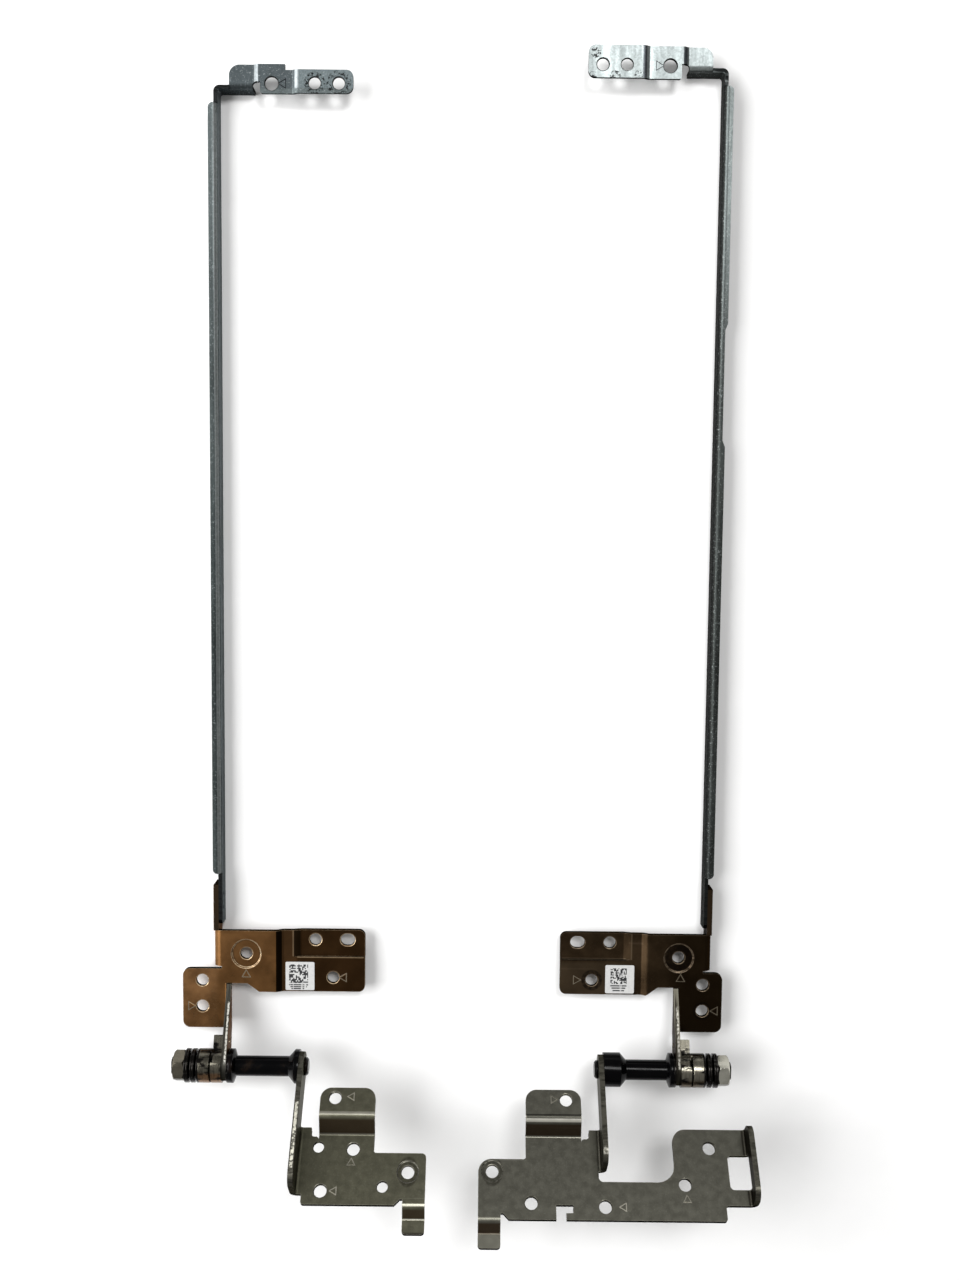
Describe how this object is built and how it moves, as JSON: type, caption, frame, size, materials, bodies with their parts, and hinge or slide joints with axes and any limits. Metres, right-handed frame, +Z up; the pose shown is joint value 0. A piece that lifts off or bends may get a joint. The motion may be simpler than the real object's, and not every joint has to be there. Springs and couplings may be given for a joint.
{
  "type": "pair of laptop hinges",
  "caption": "Left and right laptop lid hinges: folded steel base brackets and long display arms that turn on friction-stack shafts, with screw holes for base and lid.",
  "frame": {"origin": "on the table, under the middle of the pair's bounding box", "axes": "+X along the hinge axis from left to right, +Y from the axis up the display arms, +Z up from the table"},
  "size_m": [0.1366, 0.2708, 0.0326],
  "materials": {
    "base_nickel": "satin nickel plate",
    "shaft_black": "glossy black oxide",
    "stack_steel": "dark greased steel",
    "nut_nickel": "nickel plate",
    "left_display_bronze": "brown nickel plate",
    "rail_zinc": "galvanised steel",
    "label_white": "white paper film",
    "right_display_brown": "dark brown nickel plate"
  },
  "bodies": {
    "base_side": {"left_base_bracket": "base_nickel", "left_hinge_shaft": "shaft_black", "left_friction_washer": "stack_steel", "left_cam_follower": "stack_steel", "left_thrust_washer": "stack_steel", "left_lock_nut": "nut_nickel", "left_disc_spring_1": "stack_steel", "left_disc_spring_2": "stack_steel", "left_disc_spring_3": "stack_steel", "left_disc_spring_4": "stack_steel", "right_base_bracket": "base_nickel", "right_hinge_shaft": "shaft_black", "right_friction_washer": "stack_steel", "right_cam_follower": "stack_steel", "right_thrust_washer": "stack_steel", "right_lock_nut": "nut_nickel", "right_disc_spring_1": "stack_steel", "right_disc_spring_2": "stack_steel", "right_disc_spring_3": "stack_steel", "right_disc_spring_4": "stack_steel"},
    "left_display_side": {"left_display_bracket": "left_display_bronze", "left_display_rail": "rail_zinc", "left_cam_plate": "stack_steel", "left_label": "label_white"},
    "right_display_side": {"right_display_bracket": "right_display_brown", "right_display_rail": "rail_zinc", "right_cam_plate": "stack_steel", "right_label": "label_white"}
  },
  "joints": [
    {"name": "left_hinge", "type": "hinge", "parent": "base_side", "child": "left_display_side", "pos_m": [-0.05507, -0.10247, 0.0103], "axis": [1, 0, 0], "range_deg": [0, 135]},
    {"name": "right_hinge", "type": "hinge", "parent": "base_side", "child": "right_display_side", "pos_m": [0.05143, -0.10247, 0.0103], "axis": [1, 0, 0], "range_deg": [0, 135]}
  ]
}
